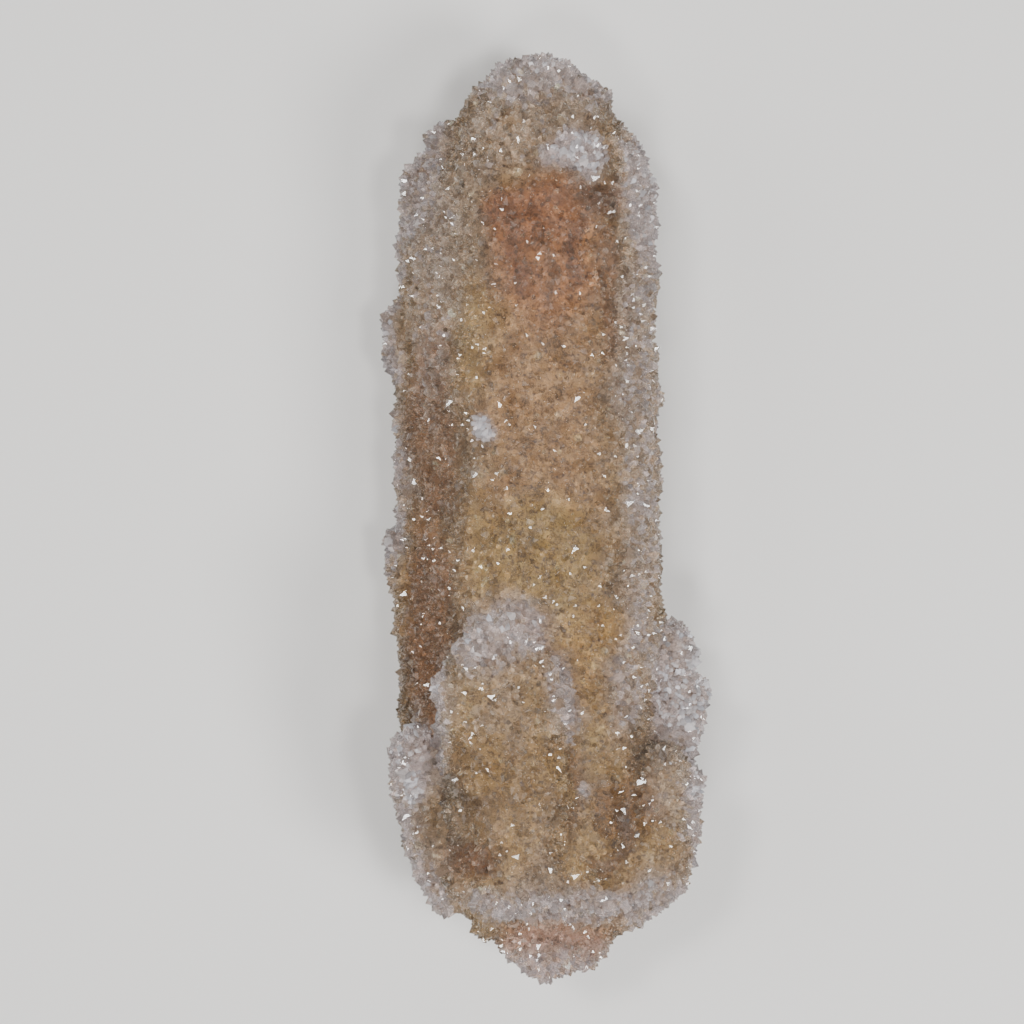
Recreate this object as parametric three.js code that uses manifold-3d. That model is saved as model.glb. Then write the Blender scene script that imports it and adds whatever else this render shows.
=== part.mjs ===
// A quartz point under a druse: one thick six-sided crystal that lies on its back, shorter points grown
// round its lower end, and a crust of small crystals over all of it. It grew as one piece, so it is one
// solid. Millimetres. +Y runs from the base to the tip, and +Z up from the surface that it lies on. +X is to
// the right of someone who looks down on it with the tip away from them. The origin is below its middle, on
// that surface.
import * as THREE from "three";
import { ConvexHull } from "three/addons/math/ConvexHull.js";
import { ImprovedNoise } from "three/addons/math/ImprovedNoise.js";
import { mergeVertices } from "three/addons/utils/BufferGeometryUtils.js";
import Module from "manifold-3d";

const wasm = await Module();
wasm.setup();

// The main point. Its side faces meet at 120 degrees, as on every quartz crystal, but are unequally wide.
// apothem is a side face's distance from the axis. Its end face would meet the axis ahead of the tip, by
// this much.
const MAIN_FOOT = [-2.6, -88, 25];
const MAIN_TIP = [-3.6, 98.2, 25];
const MAIN_FACES = [
  { side: "front", angle: 90, apothem: 24.6, ahead: 5 },
  { side: "front right", angle: 30, apothem: 27.6, ahead: 12 },
  { side: "back right", angle: -30, apothem: 23, ahead: 12 },
  { side: "back", angle: -90, apothem: 24.4, ahead: 5 },
  { side: "back left", angle: -150, apothem: 29, ahead: 3.5 },
  { side: "front left", angle: 150, apothem: 21.6, ahead: 3.5 },
];

// On quartz the end faces stand 51.8 degrees off the plane across the crystal, so they close in at this rate.
const END_SLOPE = 1 / Math.tan(THREE.MathUtils.degToRad(51.8));
const END_UNEVEN = 0.25; // how unequal a side point's end faces are, as a share of its apothem
const FOOT_SLOPE = 1.6; // the foot end widens at this rate
const EDGE_SHARPNESS = 13; // the higher, the less the crust rounds the edges between faces
const DOME = 5.2; // the main point's blunt tip has this radius times the root of the distance below it
const LEAST_RADIUS = 0.001;

// The crust: one small crystal for each cell of this many square millimetres, with valleys between them.
const CELL_AREA = 50;
const CELL_WIDTH = Math.sqrt(CELL_AREA);
const CELL_SHAKE = 0.3 * CELL_WIDTH; // how far a crystal is shaken out of its even place
const WIDEST_SWING = 0.6; // the same near a tip, in radians
const CRYSTAL_HEIGHT = [0.9, 1.95];
const CRYSTAL_LEAN = 0.36 * CELL_WIDTH; // how far a crystal's tip may stray sideways
const VALLEY_DEPTH = 0.9;
const LUMP_HEIGHT = 1.3; // the crust swells and thins by this much
const LUMP_LENGTH = 15;

// Larger crystals that stand out of the crust: their share of the cells, their size across, how far their
// side faces stand out, and how far they lean.
const LARGE_SHARE = 0.01;
const LARGE_WIDTH = [4.2, 6.4];
const LARGE_STAND = 0.2;
const LARGE_LEAN = 0.7;

// Shorter points grown on the main one. The foot is inside the cluster, and the width is across the corners.
const SIDE_POINTS = [
  { name: "front point", foot: [-4.5, -85, 40.5], tip: [-9, -19.2, 51.6], width: 32, spin: 8 },
  { name: "left point", foot: [-16, -82, 34], tip: [-26, -42, 39], width: 22, spin: 20 },
  { name: "lower left point", foot: [-16, -80, 30], tip: [-29.4, -45, 30], width: 16, spin: 0 },
  { name: "right point", foot: [25, -78, 25], tip: [28, -20, 27], width: 15, spin: 12 },
  { name: "right shoulder", foot: [23, -72, 30], tip: [31.6, -31, 33], width: 14, spin: 40 },
  { name: "lower right point", foot: [20.5, -84, 35], tip: [27.2, -47, 43], width: 21, spin: 25 },
  { name: "crest point", foot: [9, -74, 40], tip: [20.4, -18, 37], width: 14, spin: 5 },
  { name: "downward tip", foot: [0, -66, 37], tip: [2, -102, 33], width: 28, spin: 10 },
  { name: "downward left", foot: [-7, -66, 38], tip: [-11.5, -92.5, 38], width: 17, spin: 30 },
  { name: "downward far left", foot: [-10, -62, 36], tip: [-23.8, -87.5, 38], width: 14, spin: 0 },
  { name: "downward right", foot: [7, -66, 37], tip: [9.5, -100, 34], width: 17, spin: 15 },
  { name: "downward far right", foot: [13, -62, 38], tip: [19.5, -91, 38], width: 16, spin: 35 },
  { name: "ledge left", foot: [-12, -68, 38], tip: [-19, -82.5, 49], width: 12, spin: 10 },
  { name: "ledge middle", foot: [-4, -70, 38], tip: [-9, -86, 52], width: 15, spin: 20 },
  { name: "ledge right", foot: [6, -70, 38], tip: [6, -84.5, 53.5], width: 14, spin: 0 },
  { name: "ledge far right", foot: [16, -70, 36], tip: [21, -83.5, 50], width: 14, spin: 30 },
  { name: "upper left lump", foot: [-30, 26, 18], tip: [-32.4, 48.6, 20], width: 10, spin: 0 },
  { name: "middle left lump", foot: [-30, -20, 20], tip: [-33, 2, 20], width: 10, spin: 25 },
  { name: "ledge inner right", foot: [10, -70, 37], tip: [13.5, -85.5, 50.5], width: 13, spin: 15 },
  { name: "middle right lump", foot: [22, -10, 31], tip: [22.6, 7, 31], width: 8, spin: 10 },
  { name: "tip right knob", foot: [9, 74, 29], tip: [12.6, 96, 30], width: 10, spin: 0 },
  { name: "tip left knob", foot: [-17, 64, 27], tip: [-22, 88.5, 28], width: 12, spin: 15 },
  { name: "shoulder left knob", foot: [-24, 60, 25], tip: [-27.6, 80, 26], width: 12, spin: 0 },
  { name: "white knob", foot: [5, 58, 40], tip: [7.2, 76, 46], width: 10, spin: 20 },
  { name: "back left point", foot: [-9, -81, 8], tip: [-17, -42, 5.5], width: 19, spin: 30 },
  { name: "back right point", foot: [7, -82, 9], tip: [13, -46, 5.5], width: 22, spin: 30 },
  { name: "back flank point", foot: [11, -30, 12], tip: [16, 4, 9], width: 12, spin: 0 },
  { name: "tip middle knob", foot: [0, 76, 28], tip: [5, 101.6, 28], width: 14, spin: 20 },
  { name: "shoulder right knob", foot: [15, 56, 28], tip: [21, 80, 28], width: 10, spin: 10 },
];

const SKYWARD = new THREE.Vector3(0, 0, 1);
const GOLDEN_ANGLE = Math.PI * (3 - Math.sqrt(5));
const noise = new ImprovedNoise();

// A repeatable source of numbers from 0 to 1, by the mulberry32 recipe.
function seeded(seed) {
  let state = seed >>> 0;
  return () => {
    state = (state + 0x6d2b79f5) >>> 0;
    let t = Math.imul(state ^ (state >>> 15), 1 | state);
    t = (t + Math.imul(t ^ (t >>> 7), 61 | t)) ^ t;
    return ((t ^ (t >>> 14)) >>> 0) / 4294967296;
  };
}

function pickFrom([low, high], random) {
  return THREE.MathUtils.lerp(low, high, random());
}

// A sideways shift of up to half of size each way.
function stray(size, random) {
  return new THREE.Vector3(random() - 0.5, random() - 0.5, random() - 0.5).multiplyScalar(size);
}

// A regular six-sided outline for a side point. Its end faces are a little unequal, as on real crystals.
function regularFaces(width, spin, random) {
  const apothem = (width / 2) * Math.cos(Math.PI / 6) - CRYSTAL_HEIGHT[0];
  return [0, 60, 120, 180, 240, 300].map((turn) => ({
    angle: spin + turn,
    apothem,
    ahead: apothem * END_UNEVEN * random(),
  }));
}

// The bare crystal under the crust, as a radius for each height along its axis and each direction round it.
class BarePoint {
  constructor(foot, tip, faces) {
    this.foot = new THREE.Vector3(...foot);
    this.up = new THREE.Vector3(...tip).sub(this.foot);
    this.length = this.up.length();
    this.up.normalize();
    this.rise = SKYWARD.clone().addScaledVector(this.up, -SKYWARD.dot(this.up)).normalize();
    this.across = this.up.clone().cross(this.rise);
    this.faces = faces.map((face) => ({ ...face, angle: THREE.MathUtils.degToRad(face.angle) }));
    const widest = Math.max(...faces.map((face) => face.apothem));
    this.dome = DOME * Math.sqrt(widest / MAIN_FACES[0].apothem);
  }

  // The nearest of all its limits, blended so that one runs roundly into the next.
  radius(height, angle) {
    const below = this.length - height;
    const limits = [
      this.dome * Math.sqrt(Math.max(below, 0)),
      2 * this.dome * Math.sqrt(Math.max(height, 0)),
      this.dome + FOOT_SLOPE * height,
    ];
    for (const face of this.faces) {
      const facing = Math.cos(angle - face.angle);
      if (facing <= 0) continue;
      limits.push(face.apothem / facing, (END_SLOPE * (below + face.ahead)) / facing);
    }
    const sum = limits.reduce((all, r) => all + Math.max(r, LEAST_RADIUS) ** -EDGE_SHARPNESS, 0);
    return sum ** (-1 / EDGE_SHARPNESS);
  }

  meanRadius(height) {
    const turns = 12;
    let sum = 0;
    for (let k = 0; k < turns; k++) sum += this.radius(height, (2 * Math.PI * k) / turns);
    return sum / turns;
  }

  outward(angle) {
    return this.across.clone().multiplyScalar(Math.cos(angle)).addScaledVector(this.rise, Math.sin(angle));
  }

  // The surface point there, and the direction that the surface faces.
  surface(height, angle) {
    const step = 0.02;
    const r = this.radius(height, angle);
    const turn = (this.radius(height, angle + step) - this.radius(height, angle - step)) / (2 * step);
    const high = Math.min(height + step, this.length);
    const low = Math.max(height - step, 0);
    const rate = (this.radius(high, angle) - this.radius(low, angle)) / (high - low);
    const facing = this.outward(angle)
      .addScaledVector(this.outward(angle + Math.PI / 2), -turn / r)
      .addScaledVector(this.up, -rate)
      .normalize();
    const at = this.foot.clone().addScaledVector(this.up, height).addScaledVector(this.outward(angle), r);
    return { at, facing };
  }

  // Down the length: the surface area so far, and the stretch, which is the sum of each step over its radius.
  lengthTable() {
    const steps = 600;
    const table = [{ height: 0, area: 0, stretch: 0 }];
    let last = this.meanRadius(0);
    for (let k = 1; k <= steps; k++) {
      const height = (this.length * k) / steps;
      const r = this.meanRadius(height);
      const slant = Math.hypot(this.length / steps, r - last);
      const before = table[k - 1];
      const area = before.area + Math.PI * (r + last) * slant;
      table.push({ height, area, stretch: before.stretch + (2 * slant) / (r + last) });
      last = r;
    }
    return table;
  }
}

// Reads the wanted column of such a table where its known column has a given value.
function lookUp(table, known, value, wanted) {
  let row = table.findIndex((entry) => entry[known] >= value);
  if (row < 0) row = table.length - 1;
  if (row === 0) return table[0][wanted];
  const [a, b] = [table[row - 1], table[row]];
  return THREE.MathUtils.mapLinear(value, a[known], b[known], a[wanted], b[wanted]);
}

// Places for small crystals, evenly spread over a bare point in a golden-angle spiral and then shaken a
// little.
function crystalSites(bare, random) {
  const table = bare.lengthTable();
  const whole = table.at(-1);
  const count = Math.round(whole.area / CELL_AREA);
  const sites = [];
  for (let k = 0; k < count; k++) {
    const even = lookUp(table, "area", (whole.area * (k + 0.5)) / count, "height");
    const room = Math.min(CELL_SHAKE, (bare.length - even) / 2, even / 2);
    const height = even + pickFrom([-room, room], random);
    const swing = Math.min(CELL_SHAKE / bare.meanRadius(even), WIDEST_SWING);
    const angle = k * GOLDEN_ANGLE + pickFrom([-swing, swing], random);
    const stretch = lookUp(table, "height", height, "stretch") - whole.stretch / 2;
    sites.push({ height, angle, stretch });
  }
  return sites;
}

// Neighbouring sites, three at a time. A map that keeps angles, as on a sea chart, lays the sites on a ball,
// where a small circle stays a circle. The convex hull of the points on the ball joins the nearest ones.
function neighbours(sites) {
  const points = sites.map(({ angle, stretch }) => {
    const ring = 1 / Math.cosh(stretch);
    return new THREE.Vector3(ring * Math.cos(angle), ring * Math.sin(angle), -Math.tanh(stretch));
  });
  const order = new Map(points.map((point, k) => [point, k]));
  const hull = new ConvexHull().setFromPoints(points);
  return hull.faces.map((face) => {
    const edge = face.edge;
    return [edge, edge.next, edge.next.next].map((e) => order.get(e.head().point));
  });
}

// The crust's ground at each site, and the tip of the small crystal that stands there.
function growCrystals(bare, sites, random) {
  return sites.map(({ height, angle }) => {
    const { at, facing } = bare.surface(height, angle);
    const swell = noise.noise(at.x / LUMP_LENGTH, at.y / LUMP_LENGTH, at.z / LUMP_LENGTH);
    const ground = at.addScaledVector(facing, LUMP_HEIGHT * swell);
    const tip = ground.clone().addScaledVector(facing, pickFrom(CRYSTAL_HEIGHT, random));
    const sideways = stray(CRYSTAL_LEAN, random);
    tip.add(sideways.addScaledVector(facing, -sideways.dot(facing)));
    return { ground, facing, tip };
  });
}

// The low point between three neighbouring crystals.
function valleyBetween(crystals) {
  const low = new THREE.Vector3();
  for (const { ground, facing } of crystals) low.add(ground).addScaledVector(facing, -VALLEY_DEPTH);
  return low.divideScalar(crystals.length);
}

// A crusted point. Each crystal is a pyramid of about six faces, and each face runs down to two valleys.
function crustedPoint(bare, random) {
  const sites = crystalSites(bare, random);
  const crystals = growCrystals(bare, sites, random);
  const threes = neighbours(sites);
  const valleys = threes.map((three) => valleyBetween(three.map((k) => crystals[k])));
  const sidesOf = ([a, b, c]) => [[a, b], [b, c], [c, a]];
  const valleyAt = new Map();
  threes.forEach((three, k) => {
    for (const [from, to] of sidesOf(three)) valleyAt.set(`${from} ${to}`, valleys[k]);
  });
  const corners = [];
  for (const three of threes) {
    for (const [from, to] of sidesOf(three)) {
      corners.push(crystals[from].tip, valleyAt.get(`${to} ${from}`), valleyAt.get(`${from} ${to}`));
    }
  }
  const crust = new THREE.BufferGeometry().setFromPoints(corners);
  return [solidFrom(crust), ...largeCrystals(crystals, random)];
}

// One larger crystal: a six-sided prism with a six-sided end, its foot at the origin and its axis along +Z.
function singleCrystal(width) {
  const corner = width / 2;
  const end = (corner * Math.cos(Math.PI / 6)) / END_SLOPE;
  const profile = [
    new THREE.Vector2(0, -width),
    new THREE.Vector2(corner, -width),
    new THREE.Vector2(corner, LARGE_STAND),
    new THREE.Vector2(0, LARGE_STAND + end),
  ];
  return new THREE.LatheGeometry(profile, 6).rotateX(Math.PI / 2);
}

function solidFrom(geometry) {
  const bare = geometry.clone();
  bare.deleteAttribute("normal");
  bare.deleteAttribute("uv");
  const merged = mergeVertices(bare, 1e-4);
  return new wasm.Manifold(
    new wasm.Mesh({
      numProp: 3,
      vertProperties: new Float32Array(merged.attributes.position.array),
      triVerts: new Uint32Array(merged.index.array),
    }),
  );
}

// Larger crystals at some of the sites, each leaning a little away from straight out.
function largeCrystals(crystals, random) {
  const chosen = crystals.filter(() => random() < LARGE_SHARE);
  return chosen.map(({ ground, facing }) => {
    const heading = facing.clone().add(stray(LARGE_LEAN, random)).normalize();
    const turn = new THREE.Quaternion().setFromUnitVectors(SKYWARD, heading);
    const crystal = singleCrystal(pickFrom(LARGE_WIDTH, random)).rotateZ(random() * Math.PI);
    return solidFrom(crystal.applyQuaternion(turn).translate(ground.x, ground.y, ground.z));
  });
}

function mainPoint() {
  return crustedPoint(new BarePoint(MAIN_FOOT, MAIN_TIP, MAIN_FACES), seeded(11));
}

function sidePoint({ foot, tip, width, spin }, number) {
  const random = seeded(101 + number);
  return crustedPoint(new BarePoint(foot, tip, regularFaces(width, spin, random)), random);
}

// What would reach below the surface that it lies on is broken off flat there, where it came off its wall.
function restingCut() {
  const size = 400;
  return solidFrom(new THREE.BoxGeometry(size, size, size).translate(0, 0, -size / 2));
}

function wholeSpecimen() {
  const pieces = [...mainPoint(), ...SIDE_POINTS.flatMap(sidePoint)];
  const joined = pieces.reduce((whole, piece) => whole.add(piece)).subtract(restingCut());
  const [largest] = joined.decompose().sort((a, b) => b.volume() - a.volume());
  return largest;
}

function geometryOf(solid) {
  const mesh = solid.getMesh();
  return new THREE.BufferGeometry()
    .setAttribute("position", new THREE.BufferAttribute(new Float32Array(mesh.vertProperties), 3))
    .setIndex(new THREE.BufferAttribute(new Uint32Array(mesh.triVerts), 1));
}

// Moves the middle of the whole over the origin, and leaves its height as it is.
function centred(geometry) {
  geometry.computeBoundingBox();
  const middle = geometry.boundingBox.getCenter(new THREE.Vector3());
  return geometry.translate(-middle.x, -middle.y, 0);
}

const quartz = new THREE.MeshStandardMaterial({ color: "#b3a08f", roughness: 0.25, metalness: 0 });
const point = new THREE.Mesh(centred(geometryOf(wholeSpecimen())), quartz);
point.name = "quartz_point";

const specimen = new THREE.Group();
specimen.add(point);

export default specimen;
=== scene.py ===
# %% [markdown]
# # A quartz point under a druse
#
# The object is one natural crystal, about 200 mm long, that lies on its back. Under a crust of small clear
# crystals, a druse, lies a thick quartz point that iron has stained tan, rust and ochre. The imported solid
# holds its shape. This file gives it the finish that the real one has: the stained body, and over it more
# than twenty thousand single crystals, each a six-sided prism with a six-sided end.

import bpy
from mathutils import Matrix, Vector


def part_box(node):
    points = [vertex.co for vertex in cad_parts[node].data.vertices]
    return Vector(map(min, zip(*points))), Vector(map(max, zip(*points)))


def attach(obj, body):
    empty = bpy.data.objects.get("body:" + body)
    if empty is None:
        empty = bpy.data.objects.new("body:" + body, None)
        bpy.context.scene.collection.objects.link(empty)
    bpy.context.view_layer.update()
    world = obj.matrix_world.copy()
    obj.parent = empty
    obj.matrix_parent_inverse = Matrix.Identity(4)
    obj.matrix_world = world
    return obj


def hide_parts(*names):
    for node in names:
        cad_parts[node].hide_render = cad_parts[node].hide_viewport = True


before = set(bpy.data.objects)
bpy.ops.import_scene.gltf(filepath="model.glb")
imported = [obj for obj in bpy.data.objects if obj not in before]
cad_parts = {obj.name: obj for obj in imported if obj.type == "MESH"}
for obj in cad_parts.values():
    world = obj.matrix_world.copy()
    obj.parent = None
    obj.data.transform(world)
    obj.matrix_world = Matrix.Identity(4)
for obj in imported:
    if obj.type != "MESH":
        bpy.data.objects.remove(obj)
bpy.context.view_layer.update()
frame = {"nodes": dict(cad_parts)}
print("The frame holds", ", ".join(frame["nodes"]))

# %% Bring in what the steps below need
import math

import bmesh
import bpy
import numpy as np
from mathutils import Vector, noise
from mathutils.kdtree import KDTree

MM = 0.001
scene = bpy.context.scene
solid = frame["nodes"]["quartz_point"]
low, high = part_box("quartz_point")
size_mm = (high - low) / MM
print(f"The solid is {size_mm.x:.1f} by {size_mm.y:.1f} by {size_mm.z:.1f} mm")

# %% [markdown]
# ## The smooth form under the crust
#
# The solid carries coarse pyramids where the real specimen has fine crystals. The fine ones need smooth
# ground to stand on. A voxel remesh turns the solid into an even net of small squares, which is then
# smoothed. Smoothing melts the pyramids, but it also draws in the side points and edges, which have to
# stay. So it is done twice: the second round shows how much smoothing takes from a swelling as wide as a
# side point, and that is given back. The smooth form runs halfway between the pyramids' tips and valleys,
# so it also grows outward a little. It ends a hair above the plane that the solid rests on.

# %% Turn the solid into an even net
VOXEL_MM = 1.3


def new_thing(name, mesh):
    thing = bpy.data.objects.new(name, mesh)
    scene.collection.objects.link(thing)
    return thing


def with_modifiers_applied(thing):
    graph = bpy.context.evaluated_depsgraph_get()
    mesh = bpy.data.meshes.new_from_object(thing.evaluated_get(graph))
    thing.modifiers.clear()
    thing.data = mesh
    return thing


form = new_thing("form", solid.data.copy())
remesh = form.modifiers.new("even net", "REMESH")
remesh.mode = "VOXEL"
remesh.voxel_size = VOXEL_MM * MM
with_modifiers_applied(form)
print(f"The net has {len(form.data.polygons)} squares")

# %% Read its points and edges into arrays
def read(items, name, width, kind=np.float32):
    values = np.empty(len(items) * width, dtype=kind)
    items.foreach_get(name, values)
    return values.reshape(-1, width).astype(float if kind == np.float32 else int)


def write(items, name, values):
    items.foreach_set(name, np.asarray(values, dtype=np.float32).ravel())


def unit(vectors):
    return vectors / np.linalg.norm(vectors, axis=-1, keepdims=True)


def without_crumbs(mesh, least):
    """Deletes every loose part of a mesh that has fewer points than this."""
    net = bmesh.new()
    net.from_mesh(mesh)
    unseen = set(net.verts)
    crumbs = []
    while unseen:
        part = [unseen.pop()]
        for point in part:
            fresh = {edge.other_vert(point) for edge in point.link_edges} & unseen
            unseen -= fresh
            part.extend(fresh)
        if len(part) < least:
            crumbs.extend(part)
    bmesh.ops.delete(net, geom=crumbs, context="VERTS")
    net.to_mesh(mesh)
    net.free()
    return len(crumbs)


LEAST_OF_FORM = 1000

print(f"{without_crumbs(form.data, LEAST_OF_FORM)} points of crumbs deleted")
edges = read(form.data.edges, "vertices", 2, np.int32)
ends = np.concatenate((edges, edges[:, ::-1]))
meeting = np.bincount(ends[:, 0])
raw_places = read(form.data.vertices, "co", 3)
print(f"{len(raw_places)} points and {len(edges)} edges")

# %% Smooth it twice, and give back what the second round took
SMOOTH_OVER_MM = 2.4
ROUNDS_FOR_ONE_SQUARE = 4
GROWTH_MM = 0.8
FLOOR_GAP_MM = 0.03


def smoothed(places, over_mm):
    """Evens out what is narrower than about this, by moving points halfway to their neighbours' middle."""
    for _ in range(round(ROUNDS_FOR_ONE_SQUARE * (over_mm / VOXEL_MM) ** 2)):
        sums = [np.bincount(ends[:, 0], weights=places[ends[:, 1], k]) for k in range(3)]
        places = (places + np.stack(sums, axis=1) / meeting[:, None]) / 2
    return places


once = smoothed(raw_places, SMOOTH_OVER_MM)
form_places = once + (once - smoothed(once, SMOOTH_OVER_MM))
write(form.data.vertices, "co", form_places)
form.data.update()
form_facings = read(form.data.vertex_normals, "vector", 3)
form_places += GROWTH_MM * MM * form_facings
form_places[:, 2] = np.maximum(form_places[:, 2], FLOOR_GAP_MM * MM)
write(form.data.vertices, "co", form_places)
form.data.update()
print(f"The form is {np.ptp(form_places[:, 1]) / MM:.1f} mm long")

# %% [markdown]
# ## Edges and hollows
#
# On the real specimen the crust is thick and milky on edges and crowns, which the mineral water flowed
# round freely. The body is darkened in the hollows, a painted shade for the light that reaches them less.
# Both can be told from the form alone: smoothed much more broadly, it sinks where it was an edge and rises
# where it was a hollow. The difference says how proud each point stands.

# %% Measure how proud each point stands
BROAD_MM = 8

broad = smoothed(form_places, BROAD_MM)
form_proud = ((form_places - broad) * form_facings).sum(axis=1, keepdims=True) / MM
print("Proud, in mm, by quarters:", np.percentile(form_proud, (5, 25, 50, 75, 95)).round(2))

# %% [markdown]
# ## Places on the specimen
#
# Stains and milky patches sit in certain places, so both the stained body and the crust ask where they are.
# Each place is an ellipsoid: its middle, and how far it reaches each way, in millimetres. A milky place
# also has a strength. Noise bends the borders, because nothing in a stone ends in a clean oval, and it gets
# a seed, so that it bends them the same way each time.

# %% Name the pale places, where the crust is milky
MILKY_PLACES = {
    "tip": ((0, 99, 28), (27, 15, 32), 0.76),
    "haze below the tip": ((-5, 86, 44), (19, 13, 18), 0.38),
    "haze on the upper left face": ((-24, 50, 36), (9, 32, 20), 0.42),
    "left shoulder": ((-27, 76, 27), (10, 22, 18), 0.68),
    "right shoulder": ((23.5, 71, 34), (8.5, 27, 19), 0.85),
    "white lump near the tip": ((7.2, 76, 47), (7, 6, 8), 1.0),
    "small white spot": ((-12, 16.5, 50), (2.6, 2.6, 6), 1.45),
    "right face": ((22.5, 22, 38), (9, 60, 18), 0.55),
    "lower right face": ((21, -22, 42), (6, 12, 12), 0.65),
    "bluish patch": ((19.5, 2, 42), (5, 7, 9), 0.68),
    "left edge": ((-33.5, 25, 24), (5, 58, 15), 0.7),
    "upper lump on the left": ((-34, 40, 20), (5, 10, 10), 0.8),
    "middle lump on the left": ((-34, -2, 20), (5, 9, 10), 0.8),
    "crown of the front point": ((-9, -24, 54), (13, 9, 12), 0.78),
    "right edge of the front point": ((4, -37, 50), (4, 11, 10), 0.75),
    "white spot beside the front point": ((9.5, -57, 46), (2.4, 2.6, 8), 1.05),
    "left edge of the front point": ((-20, -42, 46), (4, 16, 12), 0.75),
    "crown of the left point": ((-29, -50, 38), (9, 10, 16), 0.9),
    "white spot on the left point": ((-27, -56, 42), (3, 6, 8), 1.1),
    "left side of the base": ((-31, -64, 32), (7, 16, 16), 0.7),
    "crown of the right point": ((30, -36, 34), (9, 17, 16), 0.95),
    "white spot on the right point": ((31, -41, 37), (3.5, 7, 8), 1.2),
    "beside the right point": ((17, -36, 44), (6, 12, 10), 0.6),
    "right side of the base": ((32.4, -60, 33), (5.5, 18, 18), 0.85),
    "lower left rim": ((-25, -78, 34), (9, 11, 16), 0.7),
    "lower right rim": ((24, -81, 38), (10, 8, 16), 0.65),
    "ledge of the base": ((4, -82, 48), (30, 4.5, 16), 0.72),
    "downward tip": ((3, -97, 34), (18, 9, 20), 0.5),
    "lower right flank": ((29, 38, 13), (8, 22, 9), 0.5),
    "right flank at the waist": ((28, -16, 16), (7, 14, 8), 0.4),
    "lower left flank": ((-30, 50, 12), (8, 24, 8), 0.5),
    "left flank at the waist": ((-33, -34, 12), (6, 13, 9), 0.45),
    "end of the base": ((-8, -88, 16), (16, 8, 11), 0.5),
    "underside": ((4, 24, 1), (14, 34, 7), 0.4),
}
RAGGED_MM = 3.6
RAGGED_OVER_MM = 9
FADED_AT = 1.25
FADE_WIDTH = 0.7
SEED = 7
noise.seed_set(SEED)


def ragged(places):
    """The places in millimetres, shifted by a noise that bends borders."""
    shifts = [noise.noise_vector(Vector(place) / (RAGGED_OVER_MM * MM)) for place in places]
    return places / MM + RAGGED_MM * np.array(shifts)


def nearness(places_mm, middle, reach):
    """1 well inside an ellipsoid, 0 outside it, and soft between."""
    away = np.linalg.norm((places_mm - np.array(middle)) / np.array(reach), axis=-1)
    share = np.clip((FADED_AT - away) / FADE_WIDTH, 0, 1)
    return share * share * (3 - 2 * share)


print(f"{len(MILKY_PLACES)} milky places")

# %% Say how milky the crust is at each place
MILKY_PROUD_MM = (1.4, 2.8)
MILKY_EDGES = 0.35


def milkiness(places, proud):
    bent = ragged(places)
    milk = [strength * nearness(bent, middle, reach) for middle, reach, strength in MILKY_PLACES.values()]
    on_edges = MILKY_EDGES * np.interp(proud[:, 0], MILKY_PROUD_MM, (0, 1))
    return 1 - (1 - np.max(milk, axis=0)) * (1 - on_edges)


form_milk = milkiness(form_places, form_proud)
print(f"The crust is {form_milk.mean():.0%} milky on average")

# %% [markdown]
# ## Where the small crystals stand
#
# A druse has no rows: crystals start anywhere and grow until they meet. Random points thrown evenly over the
# surface, less those that fall too near an earlier one, give the same pattern. How near is too near changes
# slowly from place to place, so that some patches are as fine as sugar and others are coarser. The underside,
# which grew nearest the wall, is coarser still, and the broken flats that it lies on have no crystals.

# %% Throw points over the form
THROWN = 260000
random = np.random.default_rng(SEED)


def thrown_over(mesh, amount, *fields):
    """Random points, spread evenly over a mesh: for each field, its value at each of them."""
    mesh.calc_loop_triangles()
    corners = read(mesh.loop_triangles, "vertices", 3, np.int32)
    a, b, c = (fields[0][corners[:, k]] for k in range(3))
    areas = np.linalg.norm(np.cross(b - a, c - a), axis=1)
    chosen = corners[random.choice(len(corners), size=amount, p=areas / areas.sum())]
    shares = random.dirichlet((1, 1, 1), amount)[:, :, None]
    return [(field[chosen] * shares).sum(axis=1) for field in fields]


thrown, thrown_facings, thrown_proud = thrown_over(form.data, THROWN, form_places, form_facings, form_proud)
thrown_facings = unit(thrown_facings)
print(f"{len(thrown)} points thrown")

# %% Keep those that have room
SPACING_MM = (0.68, 0.92)
PATCH_MM = 22
PATCH_CONTRAST = 0.9
UNDERSIDE_TIMES = 2.0
UNDERSIDE_FACING = (-0.7, -0.1)
BROKEN_BELOW_MM = 0.6


def coarseness(places):
    """From 0 to 1, in soft patches."""
    values = [noise.noise(Vector(place) / (PATCH_MM * MM)) for place in places]
    return np.clip(0.5 + PATCH_CONTRAST * np.array(values), 0, 1)


def with_room(places, spacing):
    tree = KDTree(len(places))
    for number, place in enumerate(places):
        tree.insert(place, number)
    tree.balance()
    crowded = np.zeros(len(places), dtype=bool)
    kept = []
    for number, place in enumerate(places):
        if crowded[number]:
            continue
        kept.append(number)
        for _, neighbour, _ in tree.find_range(place, spacing[number]):
            crowded[neighbour] = True
    return np.array(kept)


spacing = MM * np.interp(coarseness(thrown), (0, 1), SPACING_MM)
spacing *= np.interp(thrown_facings[:, 2], UNDERSIDE_FACING, (UNDERSIDE_TIMES, 1))
kept = with_room(thrown, spacing)
kept = kept[thrown[kept, 2] > BROKEN_BELOW_MM * MM]
sites = thrown[kept]
facings = thrown_facings[kept]
proud = thrown_proud[kept]
spacing = spacing[kept]
print(f"{len(sites)} crystals have room")

# %% [markdown]
# ## One quartz crystal, many times over
#
# Every crystal has the same parts: a ring of six corners below the surface, a ring of six above it, and a
# tip. Quartz ends at a fixed angle, so the tip stands about 1.27 times the ring's inner radius above it,
# which is 1.1 times its outer one. Each crystal is turned at random, leans by some 20 degrees and at times
# by 40, and has its tip a little off its axis. That scatter is what makes a druse sparkle, because only a
# few faces at a time send the light to the eye.

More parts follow.
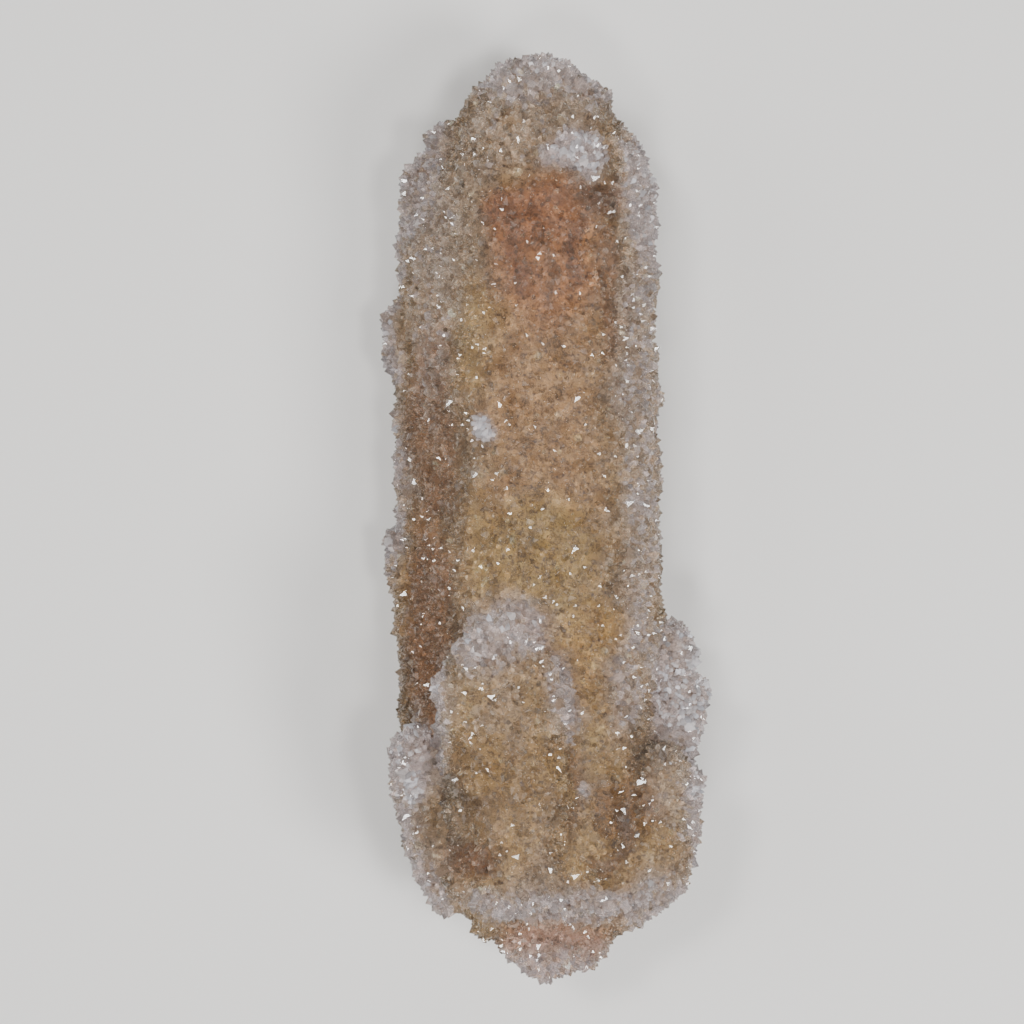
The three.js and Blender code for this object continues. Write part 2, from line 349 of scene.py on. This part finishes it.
# %% Size and lean each crystal
RADIUS_SHARE = (0.56, 0.78)
FOOT_MM = 1.15
STAND_MM = (0.15, 0.9)
LEAN = 0.33
TIP_STRAY = 0.2
LARGE_SHARE = 0.1
LARGE_TIMES = (1.5, 2.6)
LARGEST_MM = 1.3
END_RISE = 1.1

amount = len(sites)
radius = spacing * random.uniform(*RADIUS_SHARE, amount)
large = random.random(amount) < LARGE_SHARE
radius[large] *= random.uniform(*LARGE_TIMES, large.sum())
radius = np.minimum(radius, LARGEST_MM * MM)
stand = MM * random.uniform(*STAND_MM, amount)
axis = unit(facings + LEAN * random.normal(size=(amount, 3)))
print(f"Crystals are {2 * radius.min() / MM:.1f} to {2 * radius.max() / MM:.1f} mm across")

# %% Place the corners of every crystal
CORNERS_EACH = 13


def crystal_corners():
    """The corners of every crystal: six below, six above and the tip."""
    sideways = np.where(np.abs(axis[:, :1]) < 0.9, (1.0, 0, 0), (0, 1.0, 0))
    side = unit(np.cross(axis, sideways))
    other = np.cross(axis, side)
    turn = random.uniform(0, math.pi, amount)
    angles = turn[:, None] + np.arange(6) * math.pi / 3
    ring = np.cos(angles)[..., None] * side[:, None] + np.sin(angles)[..., None] * other[:, None]
    ring *= radius[:, None, None]
    stray = TIP_STRAY * radius[:, None] * random.normal(size=(amount, 2))
    tip = sites + axis * (stand + END_RISE * radius)[:, None] + side * stray[:, :1] + other * stray[:, 1:]
    below = (sites - FOOT_MM * MM * axis)[:, None] + ring
    above = (sites + stand[:, None] * axis)[:, None] + ring
    return np.concatenate((below, above, tip[:, None]), axis=1)


def crystal_faces():
    faces = [tuple(reversed(range(6)))]
    for k in range(6):
        following = (k + 1) % 6
        faces.append((k, following, 6 + following, 6 + k))
        faces.append((6 + k, 6 + following, CORNERS_EACH - 1))
    return faces


corners = crystal_corners()
faces_each = crystal_faces()
print(f"{corners.shape[0]} crystals with {len(faces_each)} faces each")

# %% [markdown]
# ## Crystals that grow into each other
#
# Where two crystals meet, the real ones have no wall between them: they are one piece of quartz. Light must
# not meet a wall there either, or the crust would look like loose beads. So the crystals are joined with
# Blender's manifold boolean. It joins thousands at once if none of those added together touch, so each
# crystal first gets a group number that no neighbour has, as countries on a map get their colours. A
# boolean leaves many short edges where crystals meet, and a light decimation takes the shortest of them out
# again.

# %% Give each crystal a group that no neighbour has
TOUCH = 1.35
TOUCH_MARGIN_MM = 0.5


def groups_apart():
    tree = KDTree(amount)
    for number, site in enumerate(sites):
        tree.insert(site, number)
    tree.balance()
    widest = radius.max()
    group = np.full(amount, -1)
    for number, site in enumerate(sites):
        taken = set()
        furthest = TOUCH * (radius[number] + widest) + TOUCH_MARGIN_MM * MM
        for _, neighbour, distance in tree.find_range(site, furthest):
            touching = TOUCH * (radius[number] + radius[neighbour]) + TOUCH_MARGIN_MM * MM
            if distance < touching:
                taken.add(group[neighbour])
        group[number] = next(free for free in range(amount) if free not in taken)
    return group


group = groups_apart()
print(f"{group.max() + 1} groups")

# %% Join the crystals of a stretch
def boolean(thing, other, operation):
    change = thing.modifiers.new(operation.lower(), "BOOLEAN")
    change.operation = operation
    change.solver = "MANIFOLD"
    change.object = other
    return with_modifiers_applied(thing)


def lightened(thing, share):
    change = thing.modifiers.new("lighten", "DECIMATE")
    change.ratio = share
    return with_modifiers_applied(thing)


def crystals_mesh(name, chosen):
    mesh = bpy.data.meshes.new(name)
    starts = CORNERS_EACH * np.arange(len(chosen))
    faces = [tuple(int(start) + corner for corner in face) for start in starts for face in faces_each]
    mesh.from_pydata(corners[chosen].reshape(-1, 3), [], faces)
    for material in druse_materials:
        mesh.materials.append(material)
    mesh.polygons.foreach_set("material_index", np.repeat(haze[chosen].astype(np.int32), len(faces_each)))
    painted = mesh.attributes.new("tint", "FLOAT_COLOR", "FACE")
    write(painted.data, "color", np.repeat(tints[chosen], len(faces_each), axis=0))
    return mesh


def joined_crystals(name, inside):
    crust = None
    for number in range(group.max() + 1):
        chosen = np.flatnonzero(inside & (group == number))
        if not len(chosen):
            continue
        batch = new_thing(f"{name}_{number}", crystals_mesh(name, chosen))
        if crust is None:
            crust = batch
            continue
        boolean(crust, batch, "UNION")
        bpy.data.objects.remove(batch)
    crust.name = name
    return crust


print(f"{amount / (group.max() + 1):.0f} crystals are joined at a time")

# %% [markdown]
# ## Colours
#
# Colours are written as they look on a screen, in sRGB hex, and turned to the linear values that the shader
# counts in. One small function adds a node to a material, with its settings and links.

# %% Turn sRGB hex to linear, and add nodes
def linear(hex_colour):
    channels = [int(hex_colour[k:k + 2], 16) / 255 for k in (1, 3, 5)]
    curved = [c / 12.92 if c <= 0.04045 else ((c + 0.055) / 1.055) ** 2.4 for c in channels]
    return (*curved, 1.0)


def add_node(material, kind, inputs=(), **settings):
    """Adds a node. Each input is a value or another node's output."""
    tree = material.node_tree
    node = tree.nodes.new(kind)
    for name, value in settings.items():
        setattr(node, name, value)
    for key, value in dict(inputs).items():
        if isinstance(value, bpy.types.NodeSocket):
            tree.links.new(value, node.inputs[key])
        else:
            node.inputs[key].default_value = value
    return node


def empty_material(name):
    material = bpy.data.materials.new(name)
    material.use_nodes = True
    material.node_tree.nodes.clear()
    return material


print("sRGB #808080 is", round(linear("#808080")[0], 3), "in linear light")

# %% [markdown]
# ## Where iron stained the body
#
# Iron oxides coloured the quartz under the crust. Rust, ochre and brown lie in patches, and paler quartz lies
# below the milky crust. The hollows and the two recesses at the base are darker with painted shade. The
# patches are named here, and the colour is worked out for each point.

# %% Name the stains
GROUND = ("#6E5A42", "#866E4C", "#8E774E")
GROUND_OVER_MM = 25
GROUND_WAVES = (-0.35, 0, 0.35)
WAVE_ROUGHNESS = 1
WAVE_TIMES_FINER = 2
WAVE_LAYERS = 3
STAIN_PLACES = {
    "grey shoulder on the left": ((-22, 66, 38), (12, 22, 22), "#867460"),
    "warm front face": ((0, 20, 50), (13, 60, 14), "#8A6C48"),
    "rust under the tip": ((1, 55, 50), (12.5, 18, 16), "#8C623E"),
    "dark rust": ((-3, 63, 50), (9, 8, 12), "#7E5230"),
    "left streak in the rust": ((-5, 55, 50), (1.8, 11, 12), "#6A4226"),
    "middle streak in the rust": ((1, 50, 50), (1.6, 10, 12), "#684830"),
    "right streak in the rust": ((7, 56, 50), (1.7, 9, 12), "#643E24"),
    "dark flecks beside the rust": ((12, 67, 48), (8, 5, 10), "#5A3A20"),
    "dark seam": ((13.5, 48, 46), (3, 20, 10), "#6A4A2C"),
    "ochre streak under the tip": ((-6, 84, 46), (10, 7, 12), "#826A42"),
    "ochre beside the front point": ((8, -28, 50), (8, 14, 14), "#8A6E3C"),
    "olive at the waist": ((0, -8, 50), (14, 14, 14), "#846C3C"),
    "tan left face": ((-25, 20, 38), (8, 26, 18), "#806044"),
    "brown left face": ((-25, -24, 36), (8, 28, 18), "#7E5A3A"),
    "middle of the front point": ((-7, -52, 54), (9, 22, 12), "#7C6238"),
    # The two recesses get a brown that is darkened with painted shade, where less light reaches.
    "brown and painted shade in the left recess": ((-15.6, -72, 50), (7, 6, 12), "#64401F"),
    "brown and painted shade in the right recess": ((17, -62, 48), (9, 8, 14), "#66471C"),
    "yellow lower right": ((27.5, -61, 42), (5, 9, 12), "#80683A"),
    "pink lavender lower tip": ((3, -94, 36), (18, 10, 24), "#98786A"),
}
# Painted shade: the body's colour is darkened towards this shade in the hollows, where less light falls.
PAINTED_SHADE_HOLLOW_MM = (-1.2, -0.2)
PAINTED_HOLLOW_SHADE = "#BCA68C"
BELOW_MILK = "#9C9090"
BELOW_MILK_SHARE = 0.7


def stain_at(places, proud, milk):
    """The body's colour at each place, in linear light."""
    layers = (WAVE_ROUGHNESS, WAVE_TIMES_FINER, WAVE_LAYERS)
    waves = np.array([noise.fractal(Vector(place) / (GROUND_OVER_MM * MM), *layers) for place in places])
    steps = np.array([linear(colour) for colour in GROUND])
    colours = np.stack([np.interp(waves, GROUND_WAVES, steps[:, k]) for k in range(4)], axis=1)
    bent = ragged(places)
    for middle, reach, colour in STAIN_PLACES.values():
        share = nearness(bent, middle, reach)[:, None]
        colours = colours + share * (np.array(linear(colour)) - colours)
    # Darken the colour in hollows with the painted shade.
    unshaded_share = np.interp(proud, PAINTED_SHADE_HOLLOW_MM, (0, 1))
    colours = colours * (unshaded_share + (1 - unshaded_share) * np.array(linear(PAINTED_HOLLOW_SHADE)))
    pale_share = BELOW_MILK_SHARE * np.minimum(milk, 1)[:, None]
    return colours + pale_share * (np.array(linear(BELOW_MILK)) - colours)


print(f"{len(STAIN_PLACES)} stains on a ground of {len(GROUND)} tans")

# %% [markdown]
# ## Stained quartz
#
# The body is massive quartz that iron has soaked into. Its surface is dull where the crust grew on it, so
# it is rougher than a grown face. Its colour was worked out above, point by point. Two noises mottle it in
# the shader: one as wide as a clot of iron, and one as fine as the gaps between the crystals, whose dark
# specks are painted shadow for what the crust's crystals would cast on the body.

# %% Make the stained quartz
MOTTLE_MM = 4
MOTTLE_LAYERS = 3
MOTTLE_SHADE = "#C8BEB2"
MOTTLE_RANGE = (0.38, 0.6)
# The fine flecks are painted shadow: dark specks on the body in place of the shadows of the crust's crystals.
SHADOW_FLECK_MM = 0.75
SHADOW_FLECK_LAYERS = 2
PAINTED_SHADOW_SHADE = "#6A5548"
SHADOW_FLECK_RANGE = (0.36, 0.56)
NOISE_ROUGHNESS = 0.6
QUARTZ_IOR = 1.544
DULL_ROUGHNESS = 0.55


def mottled(material, colour, over_mm, layers, darkest, noise_range):
    """Multiplies a colour by a noise that runs from a dark shade to white."""
    in_metres = add_node(material, "ShaderNodeTexCoord").outputs["Object"]
    waves = add_node(material, "ShaderNodeTexNoise", {
        "Vector": in_metres, "Scale": 1 / (over_mm * MM), "Detail": layers, "Roughness": NOISE_ROUGHNESS,
    }).outputs["Fac"]
    share = add_node(material, "ShaderNodeMapRange", {
        "Value": waves, "From Min": noise_range[0], "From Max": noise_range[1],
    }).outputs[0]
    shade = add_node(material, "ShaderNodeMix", {0: share, 6: linear(darkest), 7: linear("#FFFFFF")},
                     data_type="RGBA").outputs[2]
    return add_node(material, "ShaderNodeMix", {0: 1.0, 6: colour, 7: shade},
                    data_type="RGBA", blend_type="MULTIPLY").outputs[2]


iron_stained_quartz = empty_material("iron_stained_quartz")
stain = add_node(iron_stained_quartz, "ShaderNodeAttribute", attribute_name="stain").outputs["Color"]
stain = mottled(iron_stained_quartz, stain, MOTTLE_MM, MOTTLE_LAYERS, MOTTLE_SHADE, MOTTLE_RANGE)
# Paint fine shadow specks on the body, standing in for the shadows that the crust doesn't cast.
stain = mottled(iron_stained_quartz, stain, SHADOW_FLECK_MM, SHADOW_FLECK_LAYERS, PAINTED_SHADOW_SHADE, SHADOW_FLECK_RANGE)
body_shader = add_node(iron_stained_quartz, "ShaderNodeBsdfPrincipled", {
    "Base Color": stain, "Roughness": DULL_ROUGHNESS, "IOR": QUARTZ_IOR,
})
add_node(iron_stained_quartz, "ShaderNodeOutputMaterial", {"Surface": body_shader.outputs[0]})
print(f"The stain has {len(iron_stained_quartz.node_tree.nodes)} nodes")

# %% [markdown]
# ## Clear, hazy, milky and white druse
#
# The crust is quartz too: IOR 1.544, with faces that grew smooth, so it is sharp and glassy. Clear crystals
# let the stained body show through, bent by their faces. Milky ones are full of tiny bubbles of fluid, so
# much of their light comes back as a soft lavender grey. Hazy ones lie between, and a few small spots are
# white. Each crystal has a tint of its own, a little lighter or darker and a little more or less brown, as
# iron and haze differ from one to the next.

# %% Druse materials
GROWN_FACE_ROUGHNESS = 0.025
DEEP_COLOUR = "#C6BCB0"
ABSORPTION_PER_METRE = 60
DRUSE = {
    "clear": {"through": 0.96, "white": "#E6DCCC", "stain share": 0.36},
    "hazy": {"through": 0.88, "white": "#D4C8BA", "stain share": 0.24},
    "milky": {"through": 0.76, "white": "#C2B9B7", "stain share": 0.04},
    "white": {"through": 0.5, "white": "#C9C6C8", "stain share": 0.0},
}


def quartz_material(name, through):
    material = empty_material(name)
    tint = add_node(material, "ShaderNodeAttribute", attribute_name="tint").outputs["Color"]
    shader = add_node(material, "ShaderNodeBsdfPrincipled", {
        "Base Color": tint,
        "Roughness": GROWN_FACE_ROUGHNESS,
        "IOR": QUARTZ_IOR,
        "Transmission Weight": through,
    })
    depth = add_node(material, "ShaderNodeVolumeAbsorption", {
        "Color": linear(DEEP_COLOUR), "Density": ABSORPTION_PER_METRE,
    })
    add_node(material, "ShaderNodeOutputMaterial", {"Surface": shader.outputs[0], "Volume": depth.outputs[0]})
    return material


druse_materials = [quartz_material(f"{name}_druse_quartz", look["through"]) for name, look in DRUSE.items()]
print([material.name for material in druse_materials])

# %% Give each crystal its haze and its tint
HAZE_STEPS = (0.28, 0.6, 1.02)
HAZE_STRAY = 0.13
STAIN_LIGHTER = 1.7
UNEVEN_LIGHT = 0.2
UNEVEN_WARMTH = 0.025
PALEST = 0.95

milk = milkiness(sites, proud)
haze = np.digitize(milk + HAZE_STRAY * random.normal(size=amount), HAZE_STEPS)
stained = np.clip(STAIN_LIGHTER * stain_at(sites, proud, milk), 0, 1)
whites = np.array([linear(look["white"]) for look in DRUSE.values()])[haze]
share = np.array([look["stain share"] for look in DRUSE.values()])[haze][:, None]
tints = whites + share * (stained - whites)
tints[:, :3] *= np.exp(UNEVEN_LIGHT * random.normal(size=(amount, 1)))
tints[:, :3] *= np.exp(UNEVEN_WARMTH * random.normal(size=(amount, 1)) * (1, 0, -1))
tints = np.clip(tints, 0, PALEST)
print("Clear, hazy, milky and white crystals:", np.bincount(haze))

# %% [markdown]
# ## Body and crust
#
# The body is the form, drawn in a little, so that the crystals' feet are sunk in it and light that has
# entered the quartz meets the stain with no air between. What would lie deeper still is cut off, because
# nothing shows of it. The real crust is one skin. Here it grows in six stretches from base to tip, with as
# many crystals in each, because a boolean takes longer the more the mesh already holds, and six meshes are
# lighter to handle than one of 800,000 triangles. Only along the five borders do crystals overlap without
# being joined, and that is too little to see.

# %% Draw the form in
BODY_DEPTH_MM = 0.4
CUT_DEPTH_MM = 0.75
CUT_SHARE = 0.2


def drawn_in(name, depth_mm):
    mesh = form.data.copy()
    places = form_places - depth_mm * MM * form_facings
    places[:, 2] = np.maximum(places[:, 2], FLOOR_GAP_MM * MM)
    write(mesh.vertices, "co", places)
    return new_thing(name, mesh)


body = drawn_in("stained_body", BODY_DEPTH_MM)
painted = body.data.attributes.new("stain", "FLOAT_COLOR", "POINT")
write(painted.data, "color", stain_at(form_places, form_proud, form_milk))
body.data.materials.clear()
body.data.materials.append(iron_stained_quartz)
body.data.shade_smooth()
hidden_feet = lightened(drawn_in("hidden_feet", CUT_DEPTH_MM), CUT_SHARE)
print(f"The body has {len(body.data.polygons)} faces")

# %% Grow the crust on it
STRETCHES = ("base", "cluster", "waist", "middle", "shoulder", "tip")
CRUST_SHARE = 0.8
CUTTER_SIZE = 1

bpy.ops.mesh.primitive_cube_add(size=CUTTER_SIZE, location=(0, 0, FLOOR_GAP_MM * MM - CUTTER_SIZE / 2))
below_floor = bpy.context.object
limits = np.quantile(sites[:, 1], np.linspace(0, 1, len(STRETCHES) + 1))
limits[-1] += MM
crusts = []
for number, stretch in enumerate(STRETCHES):
    inside = (sites[:, 1] >= limits[number]) & (sites[:, 1] < limits[number + 1])
    crust = joined_crystals(f"crust_of_the_{stretch}", inside)
    boolean(crust, hidden_feet, "DIFFERENCE")
    boolean(crust, below_floor, "DIFFERENCE")
    lightened(crust, CRUST_SHARE)
    without_crumbs(crust.data, CORNERS_EACH)
    crust.data.calc_loop_triangles()
    crusts.append(crust)
    print(f"{crust.name}: {inside.sum()} crystals, {len(crust.data.loop_triangles)} triangles")
for scaffold in (form, hidden_feet, below_floor):
    bpy.data.objects.remove(scaffold)

# %% [markdown]
# ## Pieces on the solid
#
# Every piece rides on the root, because nothing moves, and takes the place of the one solid. A clear crust
# would still throw a full shadow on the body here, as a renderer sends shadow rays straight and doesn't
# bend them. So the crust throws none, and the body under it throws the shadow for both.

# %% Set the pieces on the solid
for piece in (body, *crusts):
    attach(piece, "root")
    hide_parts("quartz_point")
for crust in crusts:
    crust.visible_shadow = False
print(f"{1 + len(crusts)} pieces ride on the root")

# %% [markdown]
# ## Floor, light and camera
#
# The camera looks straight down, as the photo looks straight at the specimen's front. The floor is a sheet
# of pale matt paper, which leaves the specimen's own colours easy to read. A key light from the lower right
# and two large soft ones show the form, and three small bright ones near the camera add glints. The studio
# round them is dim, so that a face that mirrors it stays dark and one that mirrors a light sparkles.

# %% Floor
FLOOR_SIZE = 6
PAPER_ROUGHNESS = 0.9


def plain_material(name, hex_colour, roughness):
    material = empty_material(name)
    shader = add_node(material, "ShaderNodeBsdfPrincipled", {
        "Base Color": linear(hex_colour), "Roughness": roughness,
    })
    add_node(material, "ShaderNodeOutputMaterial", {"Surface": shader.outputs[0]})
    return material


bpy.ops.mesh.primitive_plane_add(size=FLOOR_SIZE)
floor = bpy.context.object
floor.name = "floor"
floor.data.materials.append(plain_material("pale_paper", "#F0EEEB", PAPER_ROUGHNESS))
print("Floor laid")

# %% Lights
AIMED_AT = Vector((0, 0, 0.03))
STUDIO_STRENGTH = 0.14


def soft_light(name, place, width, watts):
    data = bpy.data.lights.new(name, "AREA")
    data.shape = "DISK"
    data.size = width
    data.energy = watts
    light = bpy.data.objects.new(name, data)
    scene.collection.objects.link(light)
    light.location = place
    light.rotation_euler = (AIMED_AT - Vector(place)).to_track_quat("-Z", "Y").to_euler()


soft_light("key", (0.5, -0.3, 0.7), 0.28, 5)
soft_light("left_fill", (-0.8, 0.1, 0.6), 0.8, 3)
soft_light("upper_fill", (0.1, 0.75, 0.6), 0.8, 1.7)
soft_light("left_glints", (-0.25, 0.15, 0.8), 0.15, 2.2)
soft_light("right_glints", (0.25, -0.1, 0.85), 0.13, 2.2)
soft_light("lower_glints", (-0.1, -0.35, 0.8), 0.15, 2.2)

world = bpy.data.worlds.new("studio")
scene.world = world
world.use_nodes = True
world.node_tree.nodes["Background"].inputs["Color"].default_value = linear("#F1F0EE")
world.node_tree.nodes["Background"].inputs["Strength"].default_value = STUDIO_STRENGTH
print("Lights set")

# %% Camera
PHOTO_WIDTH_MM = 220.7
PHOTO_MIDDLE_MM = (-6.5, 0.6)
CAMERA_HEIGHT = 0.63
OUTLINE_HEIGHT = 0.03
SENSOR_MM = 36

camera = bpy.data.objects.new("camera", bpy.data.cameras.new("camera"))
scene.collection.objects.link(camera)
camera.location = (PHOTO_MIDDLE_MM[0] * MM, PHOTO_MIDDLE_MM[1] * MM, CAMERA_HEIGHT)
camera.data.sensor_width = SENSOR_MM
camera.data.lens = SENSOR_MM * (CAMERA_HEIGHT - OUTLINE_HEIGHT) / (PHOTO_WIDTH_MM * MM)
scene.camera = camera
print(f"The lens is {camera.data.lens:.0f} mm")
